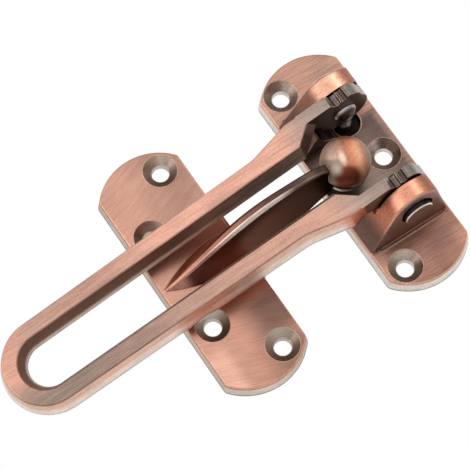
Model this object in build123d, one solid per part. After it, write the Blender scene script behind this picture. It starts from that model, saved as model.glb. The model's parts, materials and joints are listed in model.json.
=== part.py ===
# Swing-bar door guard: hinge plate with two ears, swing bar, keeper with a ball, pins and detents.
# Millimetres. X runs along the bar towards the hinge, Y across it, Z out of the door.
# The origin is the centre of the hinge plate's back face.
import os
from math import atan, atan2, cos, degrees, radians, sin, sqrt, tan

from build123d import *

# Plates: width along X, length along Y, thickness, radius of the curved ends, corner radius
PLATE_W = 29.3
PLATE_L = 83.8
PLATE_T = 5.0
PLATE_SHIFT = 0.35
SIDE_LEAN = 0.7
END_R = 18.5
CORNER_R = 2.2
TOP_ROUND = 0.5

# Countersunk screw holes: throat, rim, distance from a plate's end and long side, other places
HOLE_D = 5.4
SINK_D = 10.6
SINK_DEEP = 2.5
HOLE_END = 8.9
HOLE_IN = 7.5
MID_HOLE_X = 8.0
INNER_SPAN = 33.2
INNER_X = -6.6

# Keeper plate's centre, measured from the hinge plate's centre
KEEPER_X = -58.0

# Length of cutting blocks, more than any piece, and how far joined forms reach into one another
FAR = 400.0
SUNK = 0.5

# Pivot axis and the swing bar's slope in the closed position, tip down
PIVOT_X = 2.6
PIVOT_Z = 17.2
SLOPE = 9.5

# Ears: round top about the pivot, ramp in front of it, steep back that ends short of the plate's side, faces
EAR_R = 9.1
EAR_ROUND = 0.7
RAMP_ANGLE = 63.0
BACK_ANGLE = 40.0
BACK_FOOT = 1.1
EAR_IN = 17.9
EAR_OUT = 24.7
EAR_DRAFT = 3.3
BLOCK_IN = 11.6
BLOCK_END_X = -1.6
FOOT_STRIP = 1.2
FOOT_HIGH = 0.25
PIP_R = 0.85

# Knuckles of the swing bar: disc, saddle with two grooves, lobe behind them, seat in the ear block
KNUCKLE_R = 8.3
KNUCKLE_IN = 13.6
KNUCKLE_OUT = 17.3
SADDLE_R = 9.45
LOBE_TOP = 10.5
LOBE_R = 5.0
LOBE_ANGLE = 70.5
WEB_LOW_ANGLE = 172.0
SEAT_GAP = 0.3
GROOVE_R = 1.3
GROOVE_BOTTOM = 8.9
GROOVE_LOW = 8.5
GROOVE_STEP = 13.0
SWING_MAX = 175.0

# Pins: shank, domed inner head, riveted outer end and its recess
PIN_D = 5.0
PIN_RUN = 0.05
PIN_FIT = 0.02
HEAD_D = 7.8
HEAD_H = 2.7
RIVET_D = 9.4
RIVET_OUT = 1.4
RECESS_D = 10.8
RECESS_DEEP = 1.3

# Detents under the knuckles: open pocket, bore, plunger, spring
POCKET_X = 4.25
POCKET_Y = 14.5
POCKET_R = 4.3
POCKET_DEEP = 1.2
BORE_Y = 15.5
BORE_D = 4.5
BORE_FLOOR = 0.8
PLUNGER_GAP = 0.05
PLUNGER_BASE = 2.0
PLUNGER_SHOULDER = 4.6
PLUNGER_TOP = 6.4
NOSE_R = 1.15
SPRING_WIRE = 0.35
SPRING_MEAN = 3.3
SPRING_TURNS = 2.0

# Swing bar, in its own frame: pivot at the origin, X towards the hinge, Z up out of the bar
BAR_TOP = 11.4
BAR_BOTTOM = 4.1
PARTING = 5.75
TIP_X = -113.9
TIP_OUT = 13.2
TIP_IN = 8.55
FLARE_X = -31.3
FLARE_W = 13.95
SHOULDER_X = -17.6
SHOULDER_W = 17.1
SHOULDER_TAPER = 5.0
FLARE_ROUND = 14.0
SLOT_END_X = -17.5
SLOT_END_W = 8.95
NOTCH_X = -12.0
FLAT_END_X = -3.5
OUT_SPREAD = 1.65
IN_SPREAD = 2.05
LOW_STEP = 0.25
EDGE_BEVEL = 0.4

# Keeper: ball, collar under it, and the curved fin that carries it
BALL_X = -6.35
BALL_Z = 17.9
BALL_R = 7.7
COLLAR_R = 6.6
COLLAR_Z = 10.7
COLLAR_T = 1.5
WALL_RIB = (24.5, 0.55, 0.8, 4.6)
# Fin sections: x, underside z, underside half width, ridge z, ridge half width, shoulder size
FIN = (
    (-70.6, 4.2, 1.3, 5.1, 0.3, 0.15),
    (-69.4, 4.1, 2.3, 5.5, 0.35, 0.25),
    (-67.0, 3.8, 3.3, 6.6, 0.4, 0.35),
    (-62.5, 3.6, 4.7, 9.6, 0.5, 0.5),
    (-57.0, 3.4, 6.2, 13.6, 0.6, 0.7),
    (-49.5, 3.0, 7.1, 18.7, 0.75, 0.8),
    (-42.5, 2.2, 6.3, 22.5, 0.8, 0.9),
    (-34.0, 3.3, 5.1, 24.8, 0.8, 0.8),
    (-25.8, 6.4, 4.1, 25.2, 0.85, 0.6),
    (-19.8, 9.2, 3.5, 24.9, 0.95, 0.5),
    (-14.2, 10.7, 3.1, 23.1, 1.05, 0.4),
    (-8.0, 11.2, 2.8, 20.0, 1.1, 0.4),
)


# Small helpers
def polar(radius, angle, cx=0.0, cz=0.0):
    return (cx + radius * cos(radians(angle)), cz + radius * sin(radians(angle)))


def rod(radius, x, z, y0, y1):
    """Round bar parallel to Y."""
    return Pos(x, (y0 + y1) / 2, z) * (Rot(90, 0, 0) * Cylinder(radius, abs(y1 - y0)))


def slab_xz(points, y0, wide):
    """Closed XZ outline pushed out along Y."""
    face = make_face(Polyline([(x, 0, z) for x, z in points], close=True))
    return Pos(0, y0, 0) * extrude(face, wide, dir=(0, 1, 0))


def soften(shape, edges, radius):
    """Round edges, or leave them sharp and say so."""
    try:
        return fillet(edges, radius)
    except Exception as problem:
        print("edges left sharp:", problem)
        return shape


def both_sides(shape):
    return shape + mirror(shape, Plane.XZ)


# Curved-end plate with its back on Z = 0 and sides that lean inwards by the casting draft
def plate_outline(inset):
    half_w, half_l, end_r = PLATE_W / 2 - inset, PLATE_L / 2 - inset, END_R - inset
    side = half_l - end_r + sqrt(end_r**2 - half_w**2)
    line = Polyline([(-half_w, -side), (-half_w, side)])
    top = ThreePointArc((-half_w, side), (0, half_l), (half_w, side))
    other = Polyline([(half_w, side), (half_w, -side)])
    low = ThreePointArc((half_w, -side), (0, -half_l), (-half_w, -side))
    face = make_face([line, top, other, low])
    return fillet(face.vertices(), CORNER_R - inset)


def plate(cx):
    body = loft([plate_outline(0), Pos(0, 0, PLATE_T) * plate_outline(SIDE_LEAN)], ruled=True)
    rim = body.faces().sort_by(Axis.Z)[-1].edges()
    return Pos(cx + PLATE_SHIFT, 0, 0) * fillet(rim, TOP_ROUND)


def screw_hole(x, y):
    throat = Pos(x, y, PLATE_T / 2) * Cylinder(HOLE_D / 2, PLATE_T * 2)
    grow = 0.5
    wide = SINK_D / 2 + grow * (SINK_D - HOLE_D) / 2 / SINK_DEEP
    cone = Cone(HOLE_D / 2, wide, SINK_DEEP + grow)
    return throat + Pos(x, y, PLATE_T - SINK_DEEP / 2 + grow / 2) * cone


# Ear: ramp, round top and steep back, seen along Y
def ear_outline():
    foot = PLATE_T - SUNK
    ramp_top = polar(EAR_R, 90 + RAMP_ANGLE, PIVOT_X, PIVOT_Z)
    back_top = polar(EAR_R, BACK_ANGLE, PIVOT_X, PIVOT_Z)
    ramp_foot = (ramp_top[0] - (ramp_top[1] - foot) / tan(radians(RAMP_ANGLE)), foot)
    return ramp_foot, ramp_top, back_top, (PLATE_SHIFT + PLATE_W / 2 - BACK_FOOT, foot)


def ear_slab(y0, y1):
    ramp_foot, ramp_top, back_top, back_foot = [(x, 0, z) for x, z in ear_outline()]
    crown = polar(EAR_R, 90, PIVOT_X, PIVOT_Z)
    edges = [
        Line(ramp_foot, ramp_top), ThreePointArc(ramp_top, (crown[0], 0, crown[1]), back_top),
        Line(back_top, back_foot), Line(back_foot, ramp_foot),
    ]
    return Pos(0, y0, 0) * extrude(make_face(edges), y1 - y0, dir=(0, 1, 0))


def ear():
    ramp_foot, _, _, back_foot = ear_outline()
    high = PIVOT_Z + EAR_R + 1
    # The outer face leans inwards by the casting draft
    lean = (high - PLATE_T) * tan(radians(EAR_DRAFT))
    wedge = make_face(Polyline([
        (0, EAR_OUT + 0.05, 0), (0, EAR_OUT, PLATE_T), (0, EAR_OUT - lean, high), (0, EAR_OUT + 9, high),
        (0, EAR_OUT + 9, 0)], close=True))
    solid = ear_slab(EAR_IN, EAR_OUT + 1) - Pos(-60, 0, 0) * extrude(wedge, 120, dir=(1, 0, 0))
    outer = [e for e in solid.edges() if e.center().Y > EAR_OUT - 3 and e.center().Z > PIVOT_Z + 3]
    solid = soften(solid, [e for e in outer if e.geom_type != GeomType.LINE], EAR_ROUND)
    # Low block under the arm, hollowed round the knuckle
    block = ear_slab(BLOCK_IN, EAR_IN + 0.5) & Pos(BLOCK_END_X - 30, EAR_IN, 10) * Box(60, 20, 40)
    solid += block - rod(LOBE_TOP + SEAT_GAP, PIVOT_X, PIVOT_Z, 0, EAR_IN)
    # Raised strip and two casting pips along the foot of the outer face
    length = back_foot[0] - ramp_foot[0] - 4.0
    strip = Box(length, FOOT_STRIP, FOOT_HIGH + 0.2)
    middle = (ramp_foot[0] + back_foot[0]) / 2 + 1.2
    solid += Pos(middle, EAR_OUT + FOOT_STRIP / 2 - 0.1, PLATE_T + FOOT_HIGH / 2 - 0.1) * strip
    for x in (ramp_foot[0] + 3.2, back_foot[0] - 0.9):
        solid += Pos(x, EAR_OUT + 0.35, PLATE_T - 0.05) * Sphere(PIP_R)
    return solid


def hinge_plate():
    body = plate(0) + both_sides(ear())
    for y in (HOLE_END - PLATE_L / 2, PLATE_L / 2 - HOLE_END):
        body -= screw_hole(-PLATE_W / 2 + HOLE_IN, y)
    body -= screw_hole(MID_HOLE_X, 0)
    cuts = rod(PIN_D / 2 + PIN_FIT, PIVOT_X, PIVOT_Z, EAR_IN - 1, EAR_OUT + 3)
    face_y = EAR_OUT - (PIVOT_Z - PLATE_T) * tan(radians(EAR_DRAFT))
    cuts += rod(RECESS_D / 2, PIVOT_X, PIVOT_Z, face_y - RECESS_DEEP, EAR_OUT + 3)
    cuts += Pos(POCKET_X, POCKET_Y, PLATE_T - POCKET_DEEP + 5) * (
        Cylinder(POCKET_R, 10) & Pos(0, EAR_IN - POCKET_Y - 20, 0) * Box(40, 40, 20))
    cuts += Pos(POCKET_X, BORE_Y, BORE_FLOOR + 5) * Cylinder(BORE_D / 2, 10)
    for part in (cuts, mirror(cuts, Plane.XZ)):
        body -= part
    return body


# Pin along +Y: domed head inside the knuckle, shank, flat riveted end outside the ear
def pin():
    face_y = EAR_OUT - (PIVOT_Z - PLATE_T) * tan(radians(EAR_DRAFT))
    head_y = KNUCKLE_IN - 0.1
    dome_r = (HEAD_D**2 / 4 + HEAD_H**2) / (2 * HEAD_H)
    dome = Sphere(dome_r) & Pos(0, 0, dome_r - HEAD_H / 2) * Box(HEAD_D * 2, HEAD_D * 2, HEAD_H)
    dome = Pos(0, 0, HEAD_H - dome_r) * dome
    head = Pos(PIVOT_X, head_y, PIVOT_Z) * (Rot(90, 0, 0) * dome)
    shank = rod(PIN_D / 2, PIVOT_X, PIVOT_Z, head_y - 0.3, face_y - RECESS_DEEP + 0.3)
    end = rod(RIVET_D / 2, PIVOT_X, PIVOT_Z, face_y - RECESS_DEEP + 0.02, face_y + RIVET_OUT)
    end = chamfer(end.edges().filter_by(GeomType.CIRCLE).sort_by(Axis.Y)[-1], 0.3)
    return head + shank + end


def plunger():
    r = BORE_D / 2 - PLUNGER_GAP
    body = Pos(0, 0, (PLUNGER_BASE + PLUNGER_SHOULDER) / 2) * Cylinder(r, PLUNGER_SHOULDER - PLUNGER_BASE)
    high = PLUNGER_TOP - NOSE_R * 0.75 - PLUNGER_SHOULDER
    body += Pos(0, 0, PLUNGER_SHOULDER + high / 2) * Cone(r, NOSE_R * 0.97, high)
    body += Pos(0, 0, PLUNGER_TOP - NOSE_R) * Sphere(NOSE_R)
    return Pos(POCKET_X, BORE_Y, 0) * body


def spring():
    low = BORE_FLOOR + SPRING_WIRE / 2 + 0.02
    high = PLUNGER_BASE - SPRING_WIRE / 2 - 0.03
    pitch = (high - low) / SPRING_TURNS
    path = Helix(pitch, high - low, SPRING_MEAN / 2)
    start = Plane(path @ 0, z_dir=path % 0)
    coil = sweep(start * Circle(SPRING_WIRE / 2), path=path)
    return Pos(POCKET_X, BORE_Y, low) * coil


# Swing bar outline at one level, grown outwards (outer) or inwards (slot) by a spread
def outer_face(spread):
    r = TIP_OUT + spread
    hinge_w = min(KNUCKLE_OUT, SHOULDER_W + spread)
    half = [
        (TIP_X, r), (FLARE_X, FLARE_W + spread), (SHOULDER_X, SHOULDER_W + spread),
        (SHOULDER_X + SHOULDER_TAPER, hinge_w), (0, hinge_w),
    ]
    arc = ThreePointArc((TIP_X, -r), (TIP_X - r, 0), (TIP_X, r))
    rest = Polyline(half + [(x, -y) for x, y in reversed(half)])
    face = make_face([arc, rest])
    bends = [v for v in face.vertices() if abs(v.X - FLARE_X) < 0.1]
    return fillet(bends, FLARE_ROUND)


def slot_face(spread):
    r = TIP_IN - spread
    end = SLOT_END_W - spread
    wide = KNUCKLE_IN - end
    half = [(TIP_X, r), (SLOT_END_X, end), (SLOT_END_X + wide * 1.2, KNUCKLE_IN), (20, KNUCKLE_IN)]
    arc = ThreePointArc((TIP_X, -r), (TIP_X - r, 0), (TIP_X, r))
    rest = Polyline(half + [(x, -y) for x, y in reversed(half)])
    return make_face([arc, rest])


def stack(make, levels):
    """Solid through the same outline at several heights."""
    body = None
    for (z0, s0), (z1, s1) in zip(levels, levels[1:]):
        step = loft([Pos(0, 0, z0) * make(s0), Pos(0, 0, z1) * make(s1)], ruled=True)
        body = step if body is None else body + step
    return body


# Knuckle, round the pivot: web from the arm, disc, saddle with two detent grooves, lobe
def knuckle():
    wide = KNUCKLE_OUT - KNUCKLE_IN
    flat_angle = degrees(atan2(BAR_TOP, FLAT_END_X))
    back = NOTCH_X - 1.5
    web = [polar(KNUCKLE_R, WEB_LOW_ANGLE), (back, BAR_BOTTOM), (back, BAR_TOP), (FLAT_END_X, BAR_TOP),
           polar(SADDLE_R, flat_angle - 5), (0, 0)]
    saddle = [(0, 0), polar(FAR, flat_angle), polar(FAR, LOBE_ANGLE)]
    solid = slab_xz(web, KNUCKLE_IN, wide) + rod(KNUCKLE_R, 0, 0, KNUCKLE_IN, KNUCKLE_OUT)
    solid += slab_xz(saddle, KNUCKLE_IN, wide) & rod(SADDLE_R, 0, 0, KNUCKLE_IN, KNUCKLE_OUT)
    solid += rod(LOBE_R, *polar(LOBE_TOP - LOBE_R, LOBE_ANGLE), KNUCKLE_IN, KNUCKLE_OUT)
    # The groove that the plunger finds when the bar is fully open, and the one before it
    reach = PIVOT_Z - PLUNGER_TOP + GROOVE_R
    plunger_angle = degrees(atan((POCKET_X - PIVOT_X) / reach)) - 90 - SLOPE
    for angle, bottom in ((SWING_MAX, GROOVE_BOTTOM), (SWING_MAX + GROOVE_STEP, GROOVE_LOW)):
        x, z = polar(bottom + GROOVE_R, plunger_angle + angle)
        solid -= rod(GROOVE_R, x, z, KNUCKLE_IN - 1, KNUCKLE_OUT + 1)
    return solid - rod(PIN_D / 2 + PIN_RUN, 0, 0, KNUCKLE_IN - 1, KNUCKLE_OUT + 1)


def swing_bar():
    up, edge, low = BAR_TOP, EDGE_BEVEL, BAR_BOTTOM
    body = stack(outer_face, [(low, OUT_SPREAD - LOW_STEP), (PARTING, OUT_SPREAD), (up - edge, 0.07), (up, -0.3)])
    body -= stack(slot_face, [
        (low - 1, IN_SPREAD - LOW_STEP * 2.5), (PARTING, IN_SPREAD), (up - edge, 0.1), (up, -0.3), (up + 1, -1.2)])
    # Cut off square at the end of the flats
    body &= Pos(FLAT_END_X - FAR / 2, 0, 0) * Box(FAR, FAR, FAR)
    body += both_sides(knuckle())
    return Pos(PIVOT_X, 0, PIVOT_Z) * (Rot(0, -SLOPE, 0) * body)


def fin():
    faces = []
    for x, z0, w0, z1, w1, shoulder in FIN:
        half = [(w0, z0), (w1 + shoulder, z1 - shoulder), (w1, z1)]
        outline = [(x, y, z) for y, z in half] + [(x, -y, z) for y, z in reversed(half)]
        faces.append(make_face(Polyline(outline, close=True)))
    return loft(faces)


def keeper():
    body = plate(KEEPER_X)
    body += fin()
    body += Pos(BALL_X, 0, BALL_Z) * Sphere(BALL_R)
    body += Pos(BALL_X, 0, COLLAR_Z + COLLAR_T / 2) * Cylinder(COLLAR_R, COLLAR_T)
    length, proud, z0, z1 = WALL_RIB
    rib = Box(2 * proud + 1, length, z1 - z0)
    body += Pos(KEEPER_X + PLATE_W / 2 - 0.75, 0, (z0 + z1) / 2) * rib
    for y in (HOLE_END - PLATE_L / 2, PLATE_L / 2 - HOLE_END):
        body -= screw_hole(KEEPER_X + PLATE_W / 2 - HOLE_IN, y)
    for y in (-INNER_SPAN / 2, INNER_SPAN / 2):
        body -= screw_hole(KEEPER_X + INNER_X, y)
    return body


# Build every node and write it
right = Plane.XZ
NODES = {
    "hinge_plate": hinge_plate(),
    "swing_bar": swing_bar(),
    "keeper": keeper(),
    "pin_left": pin(),
    "pin_right": mirror(pin(), right),
    "plunger_left": plunger(),
    "plunger_right": mirror(plunger(), right),
    "detent_spring_left": spring(),
    "detent_spring_right": mirror(spring(), right),
}

os.makedirs("parts", exist_ok=True)
for name, shape in NODES.items():
    solids = shape.solids()
    box = shape.bounding_box()
    print(f"{name}: {len(solids)} solid, volume {shape.volume:.1f}",
          [round(v, 2) for v in (*box.min, *box.max)])
    export_step(shape if len(solids) > 1 else solids[0], f"parts/{name}.step")
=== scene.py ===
# %% [markdown]
# Swing bar door guard in brushed antique copper.
# The guard has three zinc castings: a hinge plate with two ears, a slotted swing bar, and a
# keeper plate whose curved fin carries a ball. Every casting is plated with copper, darkened in
# a bath, and then brushed, so that raised faces shine and hollows stay dark brown.
# The bar turns on two pins, and two sprung plungers snap into grooves in its knuckles.
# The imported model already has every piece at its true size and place. This lesson gives the
# pieces their finish, adds the burnished lips of the screw holes, and lights and frames the guard.

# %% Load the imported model
import json
import math
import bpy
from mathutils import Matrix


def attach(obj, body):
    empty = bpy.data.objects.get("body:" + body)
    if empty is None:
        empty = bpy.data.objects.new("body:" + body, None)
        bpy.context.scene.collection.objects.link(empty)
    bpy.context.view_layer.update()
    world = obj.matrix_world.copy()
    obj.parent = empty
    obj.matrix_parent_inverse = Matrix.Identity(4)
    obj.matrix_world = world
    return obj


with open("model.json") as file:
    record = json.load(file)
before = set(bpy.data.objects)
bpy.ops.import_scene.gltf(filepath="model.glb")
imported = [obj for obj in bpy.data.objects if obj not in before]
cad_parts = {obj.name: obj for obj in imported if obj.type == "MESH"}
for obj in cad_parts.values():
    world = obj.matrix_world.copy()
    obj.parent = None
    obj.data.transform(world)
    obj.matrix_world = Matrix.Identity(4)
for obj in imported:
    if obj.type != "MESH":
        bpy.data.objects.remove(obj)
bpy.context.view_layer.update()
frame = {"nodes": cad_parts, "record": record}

from types import SimpleNamespace

import bpy
from mathutils import Matrix, Vector

MM = 0.001
nodes = frame["nodes"]
print("nodes:", sorted(nodes))

# %% [markdown]
# The camera stands high on the side of the bar's tip and looks down at about 69 degrees.
# It is a long lens from far away, so the plates keep nearly parallel sides, as on a product photo.
# Its three axes are written as rows, because a camera's rotation is easiest to read that way.

# %% Camera
CAMERA_AT = Vector((-172.24, -212.51, 670.93)) * MM
CAMERA_RIGHT = Vector((0.83295, -0.55306, -0.01781))
CAMERA_DOWN = Vector((-0.52288, -0.77615, -0.35241))
FOCAL_PX = 2394.756
FRAME_PX = 470
CENTRE_PX = (235.896, 235.179)
SENSOR_MM = 36

camera_data = bpy.data.cameras.new("camera")
camera_data.sensor_width = SENSOR_MM
camera_data.lens = FOCAL_PX * SENSOR_MM / FRAME_PX
camera_data.shift_x = (FRAME_PX / 2 - CENTRE_PX[0]) / FRAME_PX
camera_data.shift_y = (CENTRE_PX[1] - FRAME_PX / 2) / FRAME_PX
camera_data.clip_start = 0.05
camera_data.clip_end = 20
camera = bpy.data.objects.new("camera", camera_data)
bpy.context.scene.collection.objects.link(camera)
up = -CAMERA_DOWN.normalized()
back = CAMERA_RIGHT.cross(up).normalized()
right = up.cross(back)
camera.matrix_world = Matrix.Translation(CAMERA_AT) @ Matrix((right, up, back)).transposed().to_4x4()
bpy.context.scene.camera = camera
print("lens:", round(camera_data.lens, 1), "mm")

# %% [markdown]
# Every material and the sky are node trees, and a tree is mostly small steps: a sum, a product,
# a blend of two colours. These helpers make one such step each, so that the trees read like text.
# Such trees could be joined by hand in the shader editor, but as text they are easier to compare.

# %% Helpers for node trees
def new_node(tree, kind, **values):
    """A node with its settings or sockets filled in. An underscore stands for a space in their names."""
    node = tree.nodes.new(kind)
    for key, value in values.items():
        if hasattr(node, key):
            setattr(node, key, value)
        else:
            node.inputs[key.replace("_", " ")].default_value = value
    return node


def feed(tree, socket, value):
    """Fills one input with another node's output, a number, or a colour."""
    if hasattr(value, "links"):
        tree.links.new(value, socket)
    elif socket.type == "RGBA":
        socket.default_value = (*value[:3], 1)
    else:
        socket.default_value = value


def math_node(tree, operation, *values, clamp=False):
    """One Math node; each input is a socket or a number."""
    node = new_node(tree, "ShaderNodeMath", operation=operation, use_clamp=clamp)
    for socket, value in zip(node.inputs, values):
        feed(tree, socket, value)
    return node.outputs[0]


def product(tree, first, *others):
    """All masks at once: 1 only where each of them is 1."""
    for other in others:
        first = math_node(tree, "MULTIPLY", first, other)
    return first


def mix_color(tree, factor, first, second, blend="MIX"):
    """One colour Mix node; each input is a socket or a value."""
    node = new_node(tree, "ShaderNodeMix", data_type="RGBA", blend_type=blend, clamp_factor=True)
    for socket, value in zip((node.inputs[0], node.inputs[6], node.inputs[7]), (factor, first, second)):
        feed(tree, socket, value)
    return node.outputs[2]


def rise(tree, value, low, high):
    """Mask that goes smoothly from 0 at low to 1 at high, or falls where low is the larger."""
    node = new_node(tree, "ShaderNodeMapRange", interpolation_type="SMOOTHSTEP",
                    From_Min=low, From_Max=high)
    tree.links.new(value, node.inputs["Value"])
    return node.outputs["Result"]


def ramp(tree, factor, *stops):
    """Colour Ramp; each stop is a position and a grey or a colour, from left to right."""
    node = new_node(tree, "ShaderNodeValToRGB")
    tree.links.new(factor, node.inputs[0])
    elements = node.color_ramp.elements
    while len(elements) < len(stops):
        elements.new(1.0)
    for element, (position, value) in zip(elements, stops):
        element.position = position
        element.color = (*value, 1) if hasattr(value, "__len__") else (value, value, value, 1)
    return node.outputs[0]


# %% [markdown]
# The guard lies on a white sheet in a white tent, as in a product photo.
# Metal shows what surrounds it, so the surroundings matter more than the lamps: the tent is white
# above and greyer near the horizon, one soft lamp high behind the hinge draws a bright streak on
# the ball, which the ball's tones below also paint as a highlight, and a wider one beyond the bar's
# tip lifts the sides that face it. The sheet is white to the camera, as in the photo, and pale grey
# in the metal's reflections. To all other light it is matt paper, so the guard shades it, and less
# light comes back up from there.

# %% World, lamps and floor
FLOOR_SIZE = 3.0
FLOOR_GLOW = 1.0
FLOOR_GLOW_IN_METAL = 0.74
SKY_GREYS = ((0.0, 0.42), (0.3, 0.55), (0.65, 0.88), (1.0, 0.98))
GUARD_MIDDLE = Vector((-50, 0, 8)) * MM

world = bpy.data.worlds.new("white_tent")
bpy.context.scene.world = world
world.use_nodes = True
sky = world.node_tree
sky.nodes.clear()
coordinate = new_node(sky, "ShaderNodeTexCoord")
split = new_node(sky, "ShaderNodeSeparateXYZ")
sky.links.new(coordinate.outputs["Generated"], split.inputs[0])
height_color = ramp(sky, split.outputs["Z"], *SKY_GREYS)
soft_sky = new_node(sky, "ShaderNodeBackground", Strength=1.0)
sky.links.new(height_color, soft_sky.inputs["Color"])
white_sky = new_node(sky, "ShaderNodeBackground", Color=(1, 1, 1, 1), Strength=1.0)
path = new_node(sky, "ShaderNodeLightPath")
mix_sky = new_node(sky, "ShaderNodeMixShader")
sky.links.new(path.outputs["Is Camera Ray"], mix_sky.inputs[0])
sky.links.new(soft_sky.outputs[0], mix_sky.inputs[1])
sky.links.new(white_sky.outputs[0], mix_sky.inputs[2])
world_out = new_node(sky, "ShaderNodeOutputWorld")
sky.links.new(mix_sky.outputs[0], world_out.inputs[0])

bpy.context.scene.view_settings.view_transform = "Standard"


def soft_lamp(name, direction, distance, size, watts):
    """Square area lamp in one direction from the middle of the guard, facing it."""
    data = bpy.data.lights.new(name, "AREA")
    data.size = size
    data.energy = watts
    lamp = bpy.data.objects.new(name, data)
    bpy.context.scene.collection.objects.link(lamp)
    towards = Vector(direction).normalized()
    lamp.location = GUARD_MIDDLE + towards * distance
    lamp.rotation_euler = towards.to_track_quat("Z", "Y").to_euler()
    return lamp


soft_lamp("tent_lamp", (0.52, 0.27, 0.81), 1.2, 0.3, 0.9)
soft_lamp("side_lamp", (-0.8, 0.35, 0.5), 1.3, 0.9, 3.0)

mesh = bpy.data.meshes.new("floor")
half = FLOOR_SIZE / 2
corners = [(-half, -half, 0), (half, -half, 0), (half, half, 0), (-half, half, 0)]
mesh.from_pydata(corners, [], [(0, 1, 2, 3)])
floor = bpy.data.objects.new("floor", mesh)
bpy.context.scene.collection.objects.link(floor)

paper = bpy.data.materials.new("white_sheet")
paper.use_nodes = True
tree = paper.node_tree
tree.nodes.clear()
matte = new_node(tree, "ShaderNodeBsdfDiffuse", Color=(0.85, 0.85, 0.85, 1))
glow = new_node(tree, "ShaderNodeEmission", Color=(1, 1, 1, 1), Strength=1.0)
path = new_node(tree, "ShaderNodeLightPath")
seen_direct = math_node(tree, "MAXIMUM", path.outputs["Is Camera Ray"], path.outputs["Is Transmission Ray"])
share = math_node(tree, "MAXIMUM", math_node(tree, "MULTIPLY", seen_direct, FLOOR_GLOW),
                  math_node(tree, "MULTIPLY", path.outputs["Is Glossy Ray"], FLOOR_GLOW_IN_METAL))
mix = new_node(tree, "ShaderNodeMixShader")
tree.links.new(share, mix.inputs[0])
tree.links.new(matte.outputs[0], mix.inputs[1])
tree.links.new(glow.outputs[0], mix.inputs[2])
out = new_node(tree, "ShaderNodeOutputMaterial")
tree.links.new(mix.outputs[0], out.inputs[0])
floor.data.materials.append(paper)
print("lamps:", [(lamp.name, lamp.energy) for lamp in bpy.data.lights])

# %% [markdown]
# Brushing leaves three marks that all castings share, so they are built once as a node group.
# The brush draws fine lines along the piece, which are noise stretched in one direction. It does
# not reach inner corners, which an ambient occlusion node finds, so the dark bath stays there. It
# rubs outer edges bright, and a bevel node finds them, because its rounded normal differs from the
# true one only at an edge; that brightening is also a painted highlight on the rounded edge. The same
# rounded normal also softens the edges of the casting.

# %% Brush lines, dark corners and bright edges as a node group
LINE_LONG = 0.13
LINE_FINE = 3.2
STREAK_LONG = 0.05
STREAK_FINE = 0.9
SPECKLE_FINE = 2.0
CLOUD_SIZE = 0.07
LINE_SWING = 0.55
CLOUD_SWING = 0.5
LINE_SHARE, STREAK_SHARE, SPECKLE_SHARE = 0.5, 0.22, 0.28
SMOOTHEST, ROUGH_SPREAD = 0.27, 0.16
EDGE_ROUND = 0.35 * MM
EDGE_WEAR_AND_HIGHLIGHT = 0.55


def stretched_noise(group, point, along, across, detail):
    """Noise drawn out along X. The two numbers are its scales along and across the brush."""
    node = new_node(group, "ShaderNodeVectorMath", operation="MULTIPLY")
    group.links.new(point, node.inputs[0])
    node.inputs[1].default_value = (along, across, across)
    noise = new_node(group, "ShaderNodeTexNoise", Scale=1.0, Detail=detail, Roughness=0.6)
    group.links.new(node.outputs[0], noise.inputs["Vector"])
    return noise.outputs["Fac"]


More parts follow.
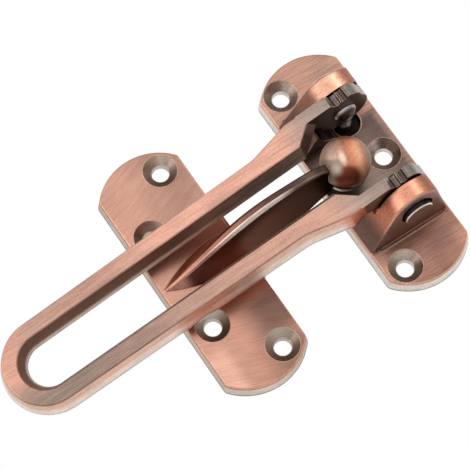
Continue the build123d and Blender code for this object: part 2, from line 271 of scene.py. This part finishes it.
def build_finish_group():
    """Takes the casting's tones, painted light and shade among them, and returns them brushed."""
    group = bpy.data.node_groups.new("antique_copper", "ShaderNodeTree")
    made = group.interface.new_socket
    made("Tone", in_out="INPUT", socket_type="NodeSocketColor")
    made("Point", in_out="INPUT", socket_type="NodeSocketVector")
    for name, value in (("Brush Turn", 0.0), ("Line Strength", 1.0), ("Corner Reach", 0.004),
                        ("Corner Dark", 0.8), ("Dullness", 0.0)):
        made(name, in_out="INPUT", socket_type="NodeSocketFloat").default_value = value
    made("Color", in_out="OUTPUT", socket_type="NodeSocketColor")
    made("Roughness", in_out="OUTPUT", socket_type="NodeSocketFloat")
    made("Height", in_out="OUTPUT", socket_type="NodeSocketFloat")
    made("Rounded", in_out="OUTPUT", socket_type="NodeSocketVector")
    inside = group.nodes.new("NodeGroupInput")
    outside = group.nodes.new("NodeGroupOutput")
    turned = new_node(group, "ShaderNodeVectorRotate", rotation_type="Z_AXIS")
    group.links.new(inside.outputs["Point"], turned.inputs["Vector"])
    group.links.new(inside.outputs["Brush Turn"], turned.inputs["Angle"])
    fine = stretched_noise(group, turned.outputs[0], LINE_LONG, LINE_FINE, 3.0)
    streak = stretched_noise(group, turned.outputs[0], STREAK_LONG, STREAK_FINE, 2.0)
    speckle = stretched_noise(group, inside.outputs["Point"], SPECKLE_FINE, SPECKLE_FINE, 2.0)
    lines = None
    for noise, share in ((fine, LINE_SHARE), (streak, STREAK_SHARE), (speckle, SPECKLE_SHARE)):
        part = math_node(group, "MULTIPLY", noise, share)
        lines = part if lines is None else math_node(group, "ADD", lines, part)
    cloud = new_node(group, "ShaderNodeTexNoise", Scale=CLOUD_SIZE, Detail=3.0, Roughness=0.55)
    group.links.new(inside.outputs["Point"], cloud.inputs["Vector"])
    # Lines and clouds lighten and darken the tone by about a quarter
    swing = math_node(group, "SUBTRACT", rise(group, lines, 0.38, 0.62), 0.5)
    swing = product(group, swing, inside.outputs["Line Strength"], LINE_SWING)
    drift = math_node(group, "SUBTRACT", cloud.outputs["Fac"], 0.5)
    drift = math_node(group, "MULTIPLY", drift, CLOUD_SWING)
    gain = math_node(group, "ADD", math_node(group, "ADD", swing, drift), 1.0)
    color = mix_color(group, 1.0, inside.outputs["Tone"], gain, "MULTIPLY")
    hollow = new_node(group, "ShaderNodeAmbientOcclusion", samples=12, only_local=True)
    group.links.new(inside.outputs["Corner Reach"], hollow.inputs["Distance"])
    open_mask = rise(group, hollow.outputs["AO"], 0.35, 0.9)
    shut = math_node(group, "SUBTRACT", 1.0, open_mask)
    shut = math_node(group, "MULTIPLY", shut, inside.outputs["Corner Dark"])
    dark = mix_color(group, 1.0, color, SOOT_IN_CORNERS, "MULTIPLY")
    color = mix_color(group, shut, color, dark)
    rounded = new_node(group, "ShaderNodeBevel", samples=6, Radius=EDGE_ROUND)
    true = new_node(group, "ShaderNodeNewGeometry")
    dot = new_node(group, "ShaderNodeVectorMath", operation="DOT_PRODUCT")
    group.links.new(rounded.outputs[0], dot.inputs[0])
    group.links.new(true.outputs["True Normal"], dot.inputs[1])
    # Outer edges are lightened: brushed wear, and also a painted highlight on the rounded edge
    edge = rise(group, dot.outputs["Value"], 0.985, 0.86)
    edge = product(group, edge, math_node(group, "MULTIPLY_ADD", open_mask, 0.6, 0.4))
    bright = mix_color(group, EDGE_WEAR_AND_HIGHLIGHT, color, EDGE_BRIGHT)
    group.links.new(mix_color(group, edge, color, bright), outside.inputs["Color"])
    rough = math_node(group, "MULTIPLY_ADD", lines, ROUGH_SPREAD, SMOOTHEST)
    rough = math_node(group, "ADD", rough, inside.outputs["Dullness"])
    group.links.new(rough, outside.inputs["Roughness"])
    group.links.new(lines, outside.inputs["Height"])
    group.links.new(rounded.outputs[0], outside.inputs["Rounded"])
    return group


def seen(red, green, blue):
    """A colour as it looks on screen, 0 to 255, as the linear values that a shader takes."""
    def linear(part):
        part /= 255
        return part / 12.92 if part <= 0.04045 else ((part + 0.055) / 1.055) ** 2.4
    return tuple(linear(part) for part in (red, green, blue))


SOOT_IN_CORNERS = seen(118, 98, 90)
EDGE_BRIGHT = seen(250, 214, 196)
finish_group = build_finish_group()
print("group sockets:", [socket.name for socket in finish_group.interface.items_tree])

# %% [markdown]
# Where the bath stayed dark differs from place to place on each casting, as on the real guard:
# tops were brushed to a rosy copper, the walls of the slot and the flanks of the fin stay brown,
# and the ears kept their orange. Other coats are painted light and shade: highlights, reflections
# and shadows, each said where it is laid. So each casting has its own function, which lays coats
# of tone over one another. A coat covers a zone, and a zone is a product of masks, which read the
# piece's own coordinates in millimetres and the way its surface faces.

# %% Where a point lies on a casting
PIVOT = Vector((2.6, 0, 17.2)) * MM
SLOPE = math.radians(9.5)
PLATE_T = 5.0


def place_on(tree, centre=(0, 0, 0), tilt=0.0):
    """Millimetres from a centre along axes tilted about Y, and the parts of the surface's normal."""
    place = new_node(tree, "ShaderNodeTexCoord")
    point = new_node(tree, "ShaderNodeMapping", vector_type="TEXTURE", Location=centre,
                     Rotation=(0, tilt, 0), Scale=(MM, MM, MM))
    tree.links.new(place.outputs["Object"], point.inputs["Vector"])
    facing = new_node(tree, "ShaderNodeMapping", vector_type="TEXTURE", Rotation=(0, tilt, 0))
    tree.links.new(place.outputs["Normal"], facing.inputs["Vector"])
    found = SimpleNamespace(point=point.outputs[0], dull=0.0)
    for source, names in ((point, ("x", "y", "z")), (facing, ("nx", "ny", "nz"))):
        parts = new_node(tree, "ShaderNodeSeparateXYZ")
        tree.links.new(source.outputs[0], parts.inputs[0])
        for name, socket in zip(names, parts.outputs):
            setattr(found, name, socket)
    found.side = math_node(tree, "ABSOLUTE", found.y)
    found.wall = rise(tree, math_node(tree, "ABSOLUTE", found.nz), 0.75, 0.45)
    found.cheek = rise(tree, math_node(tree, "ABSOLUTE", found.ny), 0.75, 0.9)
    return found


def distance(tree, first, second, a=0.0, b=0.0):
    """How far two coordinates are from (a, b)."""
    square = [product(tree, d, d) for d in (math_node(tree, "SUBTRACT", first, a),
                                            math_node(tree, "SUBTRACT", second, b))]
    return math_node(tree, "SQRT", math_node(tree, "ADD", *square))


def nearest(tree, at, centres):
    """How far a point is from the nearest of several places, seen from above."""
    found = None
    for cx, cy in centres:
        far = distance(tree, at.x, at.y, cx, cy)
        found = far if found is None else math_node(tree, "MINIMUM", found, far)
    return found


def zone(tree, *limits):
    """Where all limits hold. A limit is a mask, or a coordinate, its value at 0 and its value at 1."""
    return product(tree, *(rise(tree, *limit) if isinstance(limit, tuple) else limit for limit in limits))


def paint(tree, color, *coats):
    """Lays coats over a colour; each coat is a zone and a colour."""
    for mask, tone in coats:
        color = mix_color(tree, mask, color, tone)
    return color


RIDGE_BUMP = 0.04 * MM


def castings_material(name, tones, centre=(0, 0, 0), tilt=0.0, turn=0.0, reach=0.004, dark=0.8, lines=1.0,
                      grazing=(1, 1, 1)):
    """Metal whose tones come from a function, brushed by the shared group along the tilted axes."""
    material = bpy.data.materials.new(name)
    material.use_nodes = True
    tree = material.node_tree
    tree.nodes.clear()
    brushed = new_node(tree, "ShaderNodeGroup", node_tree=finish_group)
    at = place_on(tree, centre, tilt)
    at.turn = turn
    feed(tree, brushed.inputs["Tone"], tones(tree, at) if callable(tones) else tones)
    tree.links.new(at.point, brushed.inputs["Point"])
    for socket, value in (("Brush Turn", at.turn), ("Dullness", at.dull), ("Corner Reach", reach),
                          ("Corner Dark", dark), ("Line Strength", lines)):
        feed(tree, brushed.inputs[socket], value)
    surface = new_node(tree, "ShaderNodeBsdfPrincipled", Metallic=1.0, Specular_Tint=(*grazing, 1))
    tree.links.new(brushed.outputs["Color"], surface.inputs["Base Color"])
    tree.links.new(brushed.outputs["Roughness"], surface.inputs["Roughness"])
    ridges = new_node(tree, "ShaderNodeBump", Strength=0.25, Distance=RIDGE_BUMP)
    tree.links.new(brushed.outputs["Height"], ridges.inputs["Height"])
    tree.links.new(brushed.outputs["Rounded"], ridges.inputs["Normal"])
    tree.links.new(ridges.outputs[0], surface.inputs["Normal"])
    out = new_node(tree, "ShaderNodeOutputMaterial")
    tree.links.new(surface.outputs[0], out.inputs[0])
    return material


print("pivot in mm:", [round(v / MM, 2) for v in PIVOT], "bar slope:", round(math.degrees(SLOPE), 1))

# %% [markdown]
# The screw holes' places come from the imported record, which states them as mounts for whoever
# fastens the guard. The same places serve twice: for the dark cones in the plates' materials here,
# and for the burnished lips that are added further down.

# %% Screw holes
SINK_R = 5.3
THROAT_R = 2.7


def hole_places(*mounts):
    """Centres of the holes of these mounts, in millimetres."""
    places = []
    for mount in frame["record"]["mounts"]:
        if mount["name"] in mounts:
            x, y = (v / MM for v in mount["pos_m"][:2])
            half_span = mount["dims"].get("spacing_y_mm", 0) / 2
            places += [(x, y - half_span), (x, y + half_span)] if half_span else [(x, y)]
    return places


HINGE_HOLES = hole_places("hinge_end_holes", "hinge_middle_hole")
KEEPER_HOLES = hole_places("keeper_end_holes", "keeper_inner_holes")
print("holes:", HINGE_HOLES, KEEPER_HOLES)


def plate_details(tree, at, holes, color):
    """What both plates share: rims with a painted highlight, side walls and hole throats painted pale as
    reflections of the white sheet, and cones painted lit on one side and in shade on the other.
    """
    far = nearest(tree, at, holes)
    in_hole = rise(tree, far, SINK_R + 0.1, SINK_R - 0.1)
    # Painted highlight along the rounded top edge, which the brush also rubbed
    rim = zone(tree, (at.nz, 0.97, 0.88), (at.z, PLATE_T - 0.75, PLATE_T - 0.5))
    # Side walls painted pale grey as a reflection of the white sheet, with a painted shadow line under the
    # top
    outer_wall = zone(tree, (at.z, PLATE_T - 0.55, PLATE_T - 0.75), at.wall)
    shadow_line = zone(tree, outer_wall, (at.z, PLATE_T - 1.1, PLATE_T - 0.9))
    foot_line = zone(tree, outer_wall, (at.z, 0.9, 0.4))
    # Hole throats painted pale as a reflection of the white sheet
    throat = zone(tree, in_hole, (far, THROAT_R + 0.35, THROAT_R + 0.05))
    # A cone is painted lit where it faces the near end and in shade on the side across from that
    facing_near = math_node(tree, "ADD", product(tree, at.nx, -0.2), product(tree, at.ny, -0.8))
    cone = ramp(tree, math_node(tree, "MULTIPLY_ADD", facing_near, 0.7, 0.5), (0.05, seen(104, 84, 74)),
                (0.45, seen(150, 130, 117)), (0.75, seen(190, 170, 156)), (0.95, seen(220, 202, 186)))
    return paint(tree, color, (rim, seen(232, 172, 146)), (outer_wall, seen(226, 214, 202)),
                 (shadow_line, seen(122, 94, 82)), (foot_line, seen(160, 148, 138)), (in_hole, cone),
                 (throat, seen(220, 212, 204)))


# %% [markdown]
# Hinge plate: rosy at the far end, browner at the near end, and grey-brown between the ears, where
# a brush hardly fits. The ears' round tops and ramps are bright orange copper, their cheeks are
# dark, and the far ear is painted with more light on top and more shade down its ramp. The hollow
# seat behind the near knuckle kept a red tint, while the far seat is painted dark as the shadow
# under the arm, and each plunger pocket is painted dark as shade, with a painted highlight on its lip.

# %% Hinge plate tones
POCKETS = [(4.25, -14.5), (4.25, 14.5)]
POCKET_R = 4.3
SEAT_FROM_Y = 17.8
SEAT_R = 11.1


def hinge_plate_tones(tree, at):
    """The plate's two ends and its middle, then the pockets, then the ears."""
    far_end = rise(tree, at.y, 8, 24)
    middle = rise(tree, at.side, 15.5, 11.5)
    color = paint(
        tree, seen(160, 118, 103),
        # Near end: brown beside the ear and paler along the edges
        (zone(tree, (at.y, -24, -30), (at.x, -1, 5)), seen(136, 100, 88)),
        (zone(tree, (at.y, -31, -37), (at.x, 0, 6)), seen(154, 113, 97)),
        (zone(tree, (at.y, -26, -34), (at.x, 8, 13)), seen(172, 128, 110)),
        # Far end: rosy, browner towards the ear
        (far_end, seen(192, 147, 129)),
        (zone(tree, far_end, (at.x, 0, 10)), seen(176, 138, 122)),
        (zone(tree, far_end, (at.y, 29, 26.5), (at.x, 1, 4), (at.x, 11, 8)), seen(150, 104, 86)),
        # Inner corner of the near end, rubbed with the rim
        (zone(tree, (at.y, -20, -28), (at.x, -6, -12)), seen(200, 156, 140)),
        # Between the ears: darkest beside them, and a little worn along the outer edge
        (middle, seen(134, 113, 104)),
        (zone(tree, middle, (at.x, 2, 11)), seen(106, 87, 79)),
        (zone(tree, middle, (at.side, 8.5, 12)), seen(96, 78, 71)),
        (zone(tree, middle, (at.x, 11.5, 13.5)), seen(142, 114, 104)))
    color = plate_details(tree, at, HINGE_HOLES, color)
    pocket = nearest(tree, at, POCKETS)
    color = paint(
        tree, color,
        # Painted highlight on each pocket's lip, and painted shade inside the pocket and on its wall
        (zone(tree, (pocket, POCKET_R + 0.6, POCKET_R + 0.4), (at.z, 4.8, 4.9)), seen(170, 152, 132)),
        (rise(tree, pocket, POCKET_R + 0.12, POCKET_R), seen(40, 33, 30)),
        (zone(tree, (pocket, POCKET_R + 0.05, POCKET_R - 0.05), (at.z, 4.9, 4.6)), seen(36, 30, 27)))
    ear = rise(tree, at.z, PLATE_T + 0.2, PLATE_T + 0.9)
    near_ear = rise(tree, at.y, 1, -1)
    far_ear = zone(tree, ear, (at.y, -1, 1))
    cheek = product(tree, ear, at.cheek)
    turned = distance(tree, at.x, at.z, PIVOT.x / MM, PIVOT.z / MM)
    seat = zone(tree, ear, (at.side, SEAT_FROM_Y + 0.15, SEAT_FROM_Y), (turned, SEAT_R + 0.3, SEAT_R))
    return paint(
        tree, color,
        (ear, seen(120, 92, 81)),
        (zone(tree, ear, (at.z, 11, 19)), seen(228, 158, 130)),
        # The far ear is painted with more light on its top and more shade down its ramp than the near ear,
        # whose shape and finish are the same
        (zone(tree, far_ear, (at.z, 19, 25)), seen(252, 188, 158)),
        (zone(tree, far_ear, (at.x, 0, -5)), seen(146, 104, 87)),
        (zone(tree, far_ear, (at.x, -6, -10)), seen(112, 84, 73)),
        (zone(tree, ear, (at.x, 4, 9)), seen(184, 122, 100)),
        (cheek, seen(138, 110, 100)),
        (zone(tree, cheek, (at.z, 12, 22)), seen(176, 149, 137)),
        (zone(tree, cheek, (at.x, 6, 12)), seen(170, 144, 132)),
        # The far seat is painted dark as the shadow under the arm; the near seat keeps its red tint
        (seat, mix_color(tree, near_ear, seen(58, 44, 38), seen(214, 128, 98))))


print("plunger pockets:", POCKETS)

# %% [markdown]
# Swing bar: its top is rosy, brightest ahead of the hinge, and greyer on the near arm and round the
# tip. Its walls carry painted reflections: the slot's walls are dark under the top edge, mirroring the
# other arm, and pale below the parting line of the mould, mirroring the white sheet, and the outer
# walls are painted pale like the sheet and red near the hinge like the ear beside them. Knuckles and
# the notch between them stayed nearly black, with painted light and shade on the knuckles' crests.
# The bar slopes, so its coordinates start at the pivot and are tilted with it.

# %% Swing bar tones
TIP_X = -113.9
SLOT_R = 10.5
BAR_TOP = 11.4
PARTING_Z = 5.75
WALL_DULL = 0.3


def swing_bar_tones(tree, at):
    """Top, slot walls and outer walls, then the notch and the knuckles."""
    past_tip = math_node(tree, "MINIMUM", math_node(tree, "SUBTRACT", at.x, TIP_X), 0.0)
    from_spine = distance(tree, past_tip, at.y)
    # Lighter towards the hinge and on the far arm
    brighter_to_hinge_and_far_arm = math_node(tree, "ADD", product(tree, rise(tree, at.x, -108, -34), 0.75),
                       product(tree, rise(tree, at.y, -10, 9), 0.5), clamp=True)
    top = paint(
        tree, mix_color(tree, brighter_to_hinge_and_far_arm, seen(162, 138, 126), seen(234, 178, 156)),
        (zone(tree, (at.x, -112, -122), (at.y, -9, 1)), seen(222, 168, 148)),
        (rise(tree, at.x, -24, -9), seen(178, 156, 145)))
    under_parting = rise(tree, at.z, PARTING_Z + 0.1, PARTING_Z - 0.1)
    # Painted reflections on the slot's walls: dark under the top edge from the other arm, pale lower down
    # from the white sheet
    slot_wall = paint(
        tree, mix_color(tree, rise(tree, at.x, -66, -34), seen(128, 94, 80), seen(180, 154, 138)),
        (rise(tree, at.z, BAR_TOP - 1.2, BAR_TOP - 0.4), seen(136, 88, 72)),
        (rise(tree, at.z, 7.6, 6.2), seen(214, 198, 184)),
        (under_parting, seen(238, 228, 216)))
    # Painted reflections on the outer walls: pale from the white sheet, and red and brighter near the hinge
    # from the ear beside them
    outer_wall = paint(
        tree, seen(234, 212, 200), (rise(tree, at.z, 7.4, 9), seen(220, 178, 158)),
        (rise(tree, at.z, BAR_TOP - 0.8, BAR_TOP - 0.5), seen(146, 110, 96)),
        (under_parting, seen(224, 212, 202)),
        (rise(tree, at.x, -22, -17), seen(206, 128, 100)),
        (rise(tree, at.x, -14, -8), seen(255, 200, 164)))
    in_slot = rise(tree, from_spine, SLOT_R + 0.4, SLOT_R)
    at.dull = product(tree, in_slot, at.wall, WALL_DULL)
    from_parting = math_node(tree, "ABSOLUTE", math_node(tree, "SUBTRACT", at.z, PARTING_Z))
    wall = paint(tree, outer_wall, (in_slot, slot_wall),
                 (rise(tree, from_parting, 0.22, 0.08), seen(120, 100, 90)))
    notch = zone(tree, (at.x, -17.9, -17.3), (at.side, 13.9, 13.7))
    knuckle = zone(tree, (at.x, -5.0, -2.6), (at.side, 13.2, 13.5))
    # Painted light and shade along the knuckles' grooves and crests, with a painted highlight on the crest
    rim = ramp(
        tree, math_node(tree, "MULTIPLY_ADD", at.x, 0.08, 0.4), (0.16, seen(78, 65, 59)),
        (0.24, seen(84, 70, 64)), (0.36, seen(128, 114, 106)), (0.44, seen(118, 104, 96)),
        (0.5, seen(80, 68, 62)), (0.6, seen(86, 74, 68)), (0.72, seen(126, 116, 110)),
        (0.92, seen(176, 168, 162)))
    crest = zone(tree, (distance(tree, at.x, at.z), 9.1, 9.35), (at.x, 1.4, 0.8))
    return paint(
        tree, top, (at.wall, wall),
        (product(tree, notch, at.wall), seen(98, 76, 66)),
        (knuckle, rim), (product(tree, knuckle, crest), seen(176, 162, 152)),
        (zone(tree, (at.x, -13.5, -12), at.cheek), seen(94, 76, 68)),
        # Underside
        (rise(tree, at.nz, -0.5, -0.8), seen(150, 116, 102)))


print("slot end radius:", SLOT_R, "mm, parting line at", PARTING_Z, "mm")

# %% [markdown]
# Keeper: the plate is rosy along the edge that the door's user sees and browner towards the fin.
# Its two halves were brushed one after the other, at mirrored angles, so the lines meet under the
# fin. The fin's flanks are dark, red near the tail and almost black at the ball, and the far flank is
# painted lighter as the side that faces the light. Its narrow ridge and the ball are polished, because
# the bar slides over them each time the door is caught. The ridge's near edge has a painted highlight,
# and the ball's bands and spots are painted reflections and highlights. Beside the near arm the plate
# is painted with the arm's shadow and with light under it.

# %% Keeper tones
BALL = Vector((-6.35, 0, 17.9))
BALL_R = 7.7
BALL_DULL = 0.3
FAR_TURN = -0.36
NEAR_TURN = 0.37
# The ball's painted reflections are laid out along these two directions, across and up the ball as the
# camera sees it
REFLECTION_ACROSS = Vector((0.833, -0.553, -0.018))
REFLECTION_UP = Vector((0.523, 0.776, 0.352))


def along(tree, at, centre, direction):
    """How far a point lies from a centre in one direction, in ball radii."""
    offset = new_node(tree, "ShaderNodeVectorMath", operation="SUBTRACT")
    tree.links.new(at.point, offset.inputs[0])
    offset.inputs[1].default_value = centre
    dot = new_node(tree, "ShaderNodeVectorMath", operation="DOT_PRODUCT")
    tree.links.new(offset.outputs[0], dot.inputs[0])
    dot.inputs[1].default_value = Vector(direction) / BALL_R
    return dot.outputs["Value"]


def ball_reflections(tree, at):
    """Painted reflections and highlights of the polished ball, placed by how far across and up it they are.
    """
    right, high = along(tree, at, BALL, REFLECTION_ACROSS), along(tree, at, BALL, REFLECTION_UP)
    leaning = math_node(tree, "MULTIPLY_ADD", high, 0.3, right)
    half_high = math_node(tree, "MULTIPLY", high, 0.5)
    limb = distance(tree, right, high)
    reflection_bands = ramp(
        tree, math_node(tree, "MULTIPLY_ADD", leaning, 0.5, 0.5), (0.06, seen(212, 174, 154)),
        (0.2, seen(228, 200, 180)), (0.34, seen(216, 176, 156)), (0.44, seen(222, 176, 154)),
        (0.54, seen(206, 146, 118)), (0.63, seen(230, 158, 122)), (0.72, seen(255, 192, 152)),
        (0.78, seen(255, 204, 168)), (0.87, seen(228, 168, 140)), (0.95, seen(190, 168, 150)))
    return paint(
        tree, reflection_bands,
        # Painted reflections: olive band, dark patch and pale spot, and a painted glint
        (zone(tree, (right, -0.05, -0.3), (high, 0.14, -0.02)), seen(176, 154, 138)),
        (zone(tree, (high, 0.05, -0.3), (distance(tree, right, high, 0.06, -0.6), 0.62, 0.34)),
         seen(140, 74, 54)),
        (rise(tree, distance(tree, right, high, -0.37, -0.34), 0.34, 0.02), seen(216, 198, 188)),
        (rise(tree, distance(tree, leaning, half_high, -0.12, 0.07), 0.2, 0.02), seen(255, 222, 204)),
        # Lower and upper rims, and the pale edge on the door's side, painted as reflections
        (rise(tree, high, -0.78, -0.98), seen(84, 54, 46)),
        (rise(tree, high, 0.72, 0.98), seen(176, 120, 98)),
        (zone(tree, (limb, 0.94, 0.985), (right, 0.1, 0.4)), seen(214, 204, 190)))


def keeper_tones(tree, at):
    """The plate with its two ends, then the fin's flanks and ridge, then the ball and its collar."""
    plate = paint(
        tree, mix_color(tree, rise(tree, at.x, -71, -47), seen(216, 164, 144), seen(182, 140, 123)),
        (zone(tree, (at.side, 20, 8), (at.x, -66, -52)), seen(196, 140, 116)),
        # Near end: painted light that lifts the near arm's shade, a rosy left edge, the arm's painted shadow
        # just past it, and painted red light under the arm
        (zone(tree, (at.y, -8, -18), (at.x, -70, -52)), seen(218, 160, 138)),
        (zone(tree, (at.y, -24, -36), (at.x, -66, -50)), seen(158, 120, 105)),
        (zone(tree, (at.y, -22, -28), (at.x, -64, -68)), seen(242, 188, 166)),
        (zone(tree, (at.y, -15.5, -19), (at.y, -33, -26), (at.x, -61, -50)), seen(138, 105, 92)),
        (zone(tree, (at.y, -17, -14.5), (at.y, 1, -1), (at.x, -66, -57)), seen(240, 172, 146)))
    plate = plate_details(tree, at, KEEPER_HOLES, plate)
    fin = rise(tree, at.z, PLATE_T + 0.15, PLATE_T + 0.4)
    root = zone(tree, fin, (at.z, PLATE_T + 0.75, PLATE_T + 0.5), (at.nz, 0.8, 0.6))
    flank = mix_color(tree, rise(tree, at.x, -50, -18), seen(106, 69, 59), seen(48, 32, 29))
    # The far flank is painted lighter than the near one, as the side that faces the light
    lit_far_flank = mix_color(tree, rise(tree, at.x, -62, -30), seen(200, 132, 104), seen(88, 66, 57))
    on_ridge = zone(tree, fin, (at.nz, 0.5, 0.62))
    ridge = paint(
        tree, seen(206, 146, 122), (rise(tree, at.x, -66, -54), seen(146, 100, 84)),
        (rise(tree, at.x, -44, -28), seen(84, 66, 58)), (rise(tree, at.x, -16, -10), seen(140, 122, 110)))
    # Painted highlight along the ridge's near edge, going dark towards the ball
    ridge_edge_highlight = paint(
        tree, seen(222, 172, 152), (rise(tree, at.x, -60, -44), seen(236, 212, 200)),
        (rise(tree, at.x, -32, -24), seen(104, 86, 78)))
    from_ball = new_node(tree, "ShaderNodeVectorMath", operation="DISTANCE")
    tree.links.new(at.point, from_ball.inputs[0])
    from_ball.inputs[1].default_value = BALL
    ball = rise(tree, from_ball.outputs["Value"], BALL_R + 0.06, BALL_R + 0.02)
    collar = zone(tree, (at.z, 12.6, 12.3), (distance(tree, at.x, at.y, BALL.x, 0), 7.4, 6.9),
                  (at.z, 10.4, 10.6))
    at.dull = math_node(tree, "MULTIPLY", ball, BALL_DULL)
    near_plate = product(tree, math_node(tree, "LESS_THAN", at.y, 0.0),
                         math_node(tree, "LESS_THAN", at.z, PLATE_T + 0.2))
    at.turn = math_node(tree, "MULTIPLY_ADD", near_plate, NEAR_TURN - FAR_TURN, FAR_TURN)
    return paint(
        tree, plate, (fin, flank), (zone(tree, fin, (at.ny, 0.1, 0.5)), lit_far_flank),
        (root, seen(52, 38, 33)), (on_ridge, ridge), (zone(tree, on_ridge, (at.y, -0.3, -0.5)), ridge_edge_highlight),
        (ball, ball_reflections(tree, at)), (collar, seen(204, 200, 186)))


print("ball radius:", BALL_R, "mm, centre:", tuple(round(v, 2) for v in BALL))

# %% [markdown]
# Pins: nobody can brush inside a knuckle, so the shanks are black. Each inner head is a small dome
# with painted highlights at its middle and rim, and the riveted outer end was rubbed with the ear and
# has a painted highlight on its rim.
# The plungers and springs are bare steel, which the copper bath never touched.

# %% Give the castings and small parts their finish
HEAD_R = 3.9


def pin_tones(tree, at):
    """Black shanks and recess walls, a riveted end with a painted highlight on its rim, and a domed head
    with painted highlights at its middle and rim.
    """
    turned = distance(tree, at.x, at.z, PIVOT.x / MM, PIVOT.z / MM)
    outer = rise(tree, at.side, 22, 23)
    upright = rise(tree, math_node(tree, "ABSOLUTE", at.ny), 0.4, 0.6)
    # Painted highlights on the head: light at its middle and rim, dark between
    head = ramp(tree, math_node(tree, "MULTIPLY", turned, 1 / HEAD_R), (0.0, seen(214, 206, 200)),
                (0.3, seen(150, 140, 134)), (0.42, seen(84, 74, 69)), (0.84, seen(76, 66, 61)),
                (0.94, seen(190, 180, 172)))
    return paint(
        tree, seen(58, 48, 44),
        # Painted highlight on the rim of the riveted end
        (zone(tree, outer, (turned, 4.2, 4.4), upright), seen(236, 226, 216)),
        (product(tree, at.cheek, outer), seen(150, 127, 115)),
        (rise(tree, at.side, 14.5, 13.8), head))


def give(node, material):
    """The CAD node keeps its shape and takes this finish."""
    piece = nodes[node]
    piece.data.materials.clear()
    piece.data.materials.append(material)


hinge_copper = castings_material("hinge_copper", hinge_plate_tones, turn=0.04, lines=0.75)
bar_copper = castings_material("bar_copper", swing_bar_tones, PIVOT, -SLOPE, turn=0.03, dark=0.5, lines=0.65)
keeper_copper = castings_material("keeper_copper", keeper_tones, lines=0.5, grazing=(0.62, 0.54, 0.5))
give("hinge_plate", hinge_copper)
give("swing_bar", bar_copper)
give("keeper", keeper_copper)
pin_dark = castings_material("pin_dark", pin_tones, reach=0.0015, lines=0.4)
steel = castings_material("plunger_steel", seen(128, 122, 118), reach=0.0015, lines=0.3)
for side in ("left", "right"):
    give(f"pin_{side}", pin_dark)
    give(f"plunger_{side}", steel)
    give(f"detent_spring_{side}", steel)
print("finishes:", {name: piece.data.materials[0].name for name, piece in sorted(nodes.items())})

# %% [markdown]
# Each countersink has a thin burnished lip, where the cutter raised a burr and the brush rubbed it
# bright. All seven are the same ring, so Geometry Nodes make them: the tree takes one point per
# hole, puts a ring on each, and turns the copies into plain geometry with the lip's material.

# %% Burnished lips by Geometry Nodes
LIP_WIRE = 0.11 * MM
LIP_SUNK = 0.4
LIP_STEPS = 48
LIP_WIRE_STEPS = 8


def build_lip_tree(material):
    """Rings on points: a circle swept along a circle, placed on every vertex."""
    tree = bpy.data.node_groups.new("hole_lips", "GeometryNodeTree")
    made = tree.interface.new_socket
    made("Geometry", in_out="INPUT", socket_type="NodeSocketGeometry")
    made("Lip Radius", in_out="INPUT", socket_type="NodeSocketFloat")
    made("Wire Radius", in_out="INPUT", socket_type="NodeSocketFloat")
    made("Geometry", in_out="OUTPUT", socket_type="NodeSocketGeometry")
    inside = tree.nodes.new("NodeGroupInput")
    outside = tree.nodes.new("NodeGroupOutput")
    ring = new_node(tree, "GeometryNodeCurvePrimitiveCircle", Resolution=LIP_STEPS)
    wire = new_node(tree, "GeometryNodeCurvePrimitiveCircle", Resolution=LIP_WIRE_STEPS)
    tree.links.new(inside.outputs["Lip Radius"], ring.inputs["Radius"])
    tree.links.new(inside.outputs["Wire Radius"], wire.inputs["Radius"])
    sweep = new_node(tree, "GeometryNodeCurveToMesh")
    tree.links.new(ring.outputs["Curve"], sweep.inputs["Curve"])
    tree.links.new(wire.outputs["Curve"], sweep.inputs["Profile Curve"])
    copies = new_node(tree, "GeometryNodeInstanceOnPoints")
    tree.links.new(inside.outputs["Geometry"], copies.inputs["Points"])
    tree.links.new(sweep.outputs[0], copies.inputs["Instance"])
    solid = new_node(tree, "GeometryNodeRealizeInstances")
    tree.links.new(copies.outputs[0], solid.inputs[0])
    finish = new_node(tree, "GeometryNodeSetMaterial")
    finish.inputs["Material"].default_value = material
    tree.links.new(solid.outputs[0], finish.inputs["Geometry"])
    tree.links.new(finish.outputs[0], outside.inputs["Geometry"])
    return tree


lip_copper = castings_material("lip_copper", seen(226, 184, 166), lines=0.3)
lip_tree = build_lip_tree(lip_copper)
points = bpy.data.meshes.new("hole_centres")
lip_height = PLATE_T * MM - LIP_WIRE * LIP_SUNK
points.from_pydata([(x * MM, y * MM, lip_height) for x, y in HINGE_HOLES + KEEPER_HOLES], [], [])
maker = bpy.data.objects.new("hole_centres", points)
bpy.context.scene.collection.objects.link(maker)
modifier = maker.modifiers.new("lips", "NODES")
modifier.node_group = lip_tree
for socket, value in (("Lip Radius", SINK_R * MM), ("Wire Radius", LIP_WIRE)):
    modifier[lip_tree.interface.items_tree[socket].identifier] = value
bpy.context.view_layer.update()
evaluated = maker.evaluated_get(bpy.context.evaluated_depsgraph_get())
lip_mesh = bpy.data.meshes.new_from_object(evaluated)
lip_mesh.name = "hole_lips"
bpy.data.objects.remove(maker)
hole_lips = bpy.data.objects.new("hole_lips", lip_mesh)
bpy.context.scene.collection.objects.link(hole_lips)
hole_lips.data.shade_smooth()
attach(hole_lips, "base")
print("lips:", len(HINGE_HOLES + KEEPER_HOLES), "rings,", len(lip_mesh.polygons), "faces")
